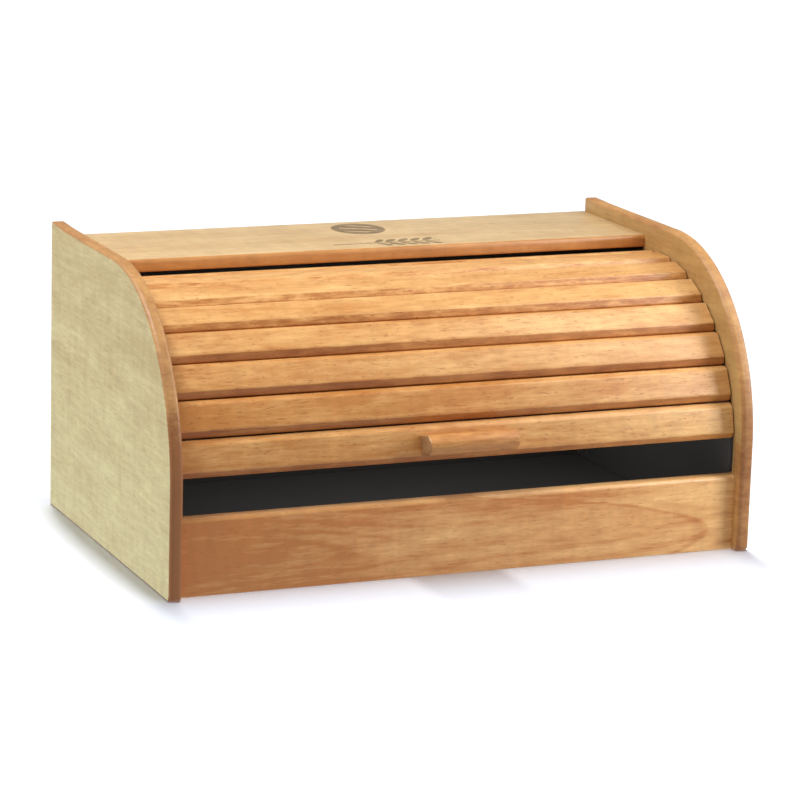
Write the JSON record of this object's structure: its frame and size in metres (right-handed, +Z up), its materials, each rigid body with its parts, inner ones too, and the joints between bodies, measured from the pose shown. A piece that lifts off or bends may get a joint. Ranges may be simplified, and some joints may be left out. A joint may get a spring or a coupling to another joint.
{
  "type": "bread box with roll top",
  "caption": "Wooden bread box with curved side panels, a fixed top board and front rail, and a slatted roll top that slides back in grooves.",
  "frame": {"origin": "middle of the box's plan, on the surface that it stands on", "axes": "+X along the box's length, to the right seen from the front; +Y to the back; +Z up"},
  "size_m": [0.39, 0.2442, 0.1882],
  "materials": {
    "panel_wood": "satin lacquer over pale wood",
    "top_wood": "satin lacquer over pale wood",
    "rail_wood": "satin lacquer over warm wood",
    "slat_wood": "satin lacquer over warm wood",
    "handle_wood": "satin lacquer over warm wood",
    "thin_board": "bare plywood",
    "dowel_wood": "bare hardwood",
    "canvas": "dark woven canvas",
    "steel": "plain steel"
  },
  "bodies": {
    "box": {"side_panel_left": "panel_wood", "side_panel_right": "panel_wood", "top_board": "top_wood", "front_rail": "rail_wood", "bottom_board": "thin_board", "back_panel": "thin_board", "top_dowel_left_1": "dowel_wood", "top_dowel_left_2": "dowel_wood", "top_dowel_right_1": "dowel_wood", "top_dowel_right_2": "dowel_wood", "rail_dowel_left_1": "dowel_wood", "rail_dowel_left_2": "dowel_wood", "rail_dowel_right_1": "dowel_wood", "rail_dowel_right_2": "dowel_wood", "back_nail_left_1": "steel", "back_nail_left_2": "steel", "back_nail_left_3": "steel", "back_nail_right_1": "steel", "back_nail_right_2": "steel", "back_nail_right_3": "steel"},
    "roll_top": {"slat_01": "slat_wood", "slat_02": "slat_wood", "slat_03": "slat_wood", "slat_04": "slat_wood", "slat_05": "slat_wood", "slat_06": "slat_wood", "slat_07": "slat_wood", "slat_08": "slat_wood", "slat_09": "slat_wood", "tambour_canvas": "canvas", "handle": "handle_wood", "handle_screw_left": "steel", "handle_screw_right": "steel"}
  },
  "joints": [
    {"name": "roll_top_slide", "type": "hinge", "parent": "box", "child": "roll_top", "pos_m": [0, 0.00405, 0.05895], "axis": [-1, 0, 0], "range_deg": [-12.2, 86.5]}
  ]
}
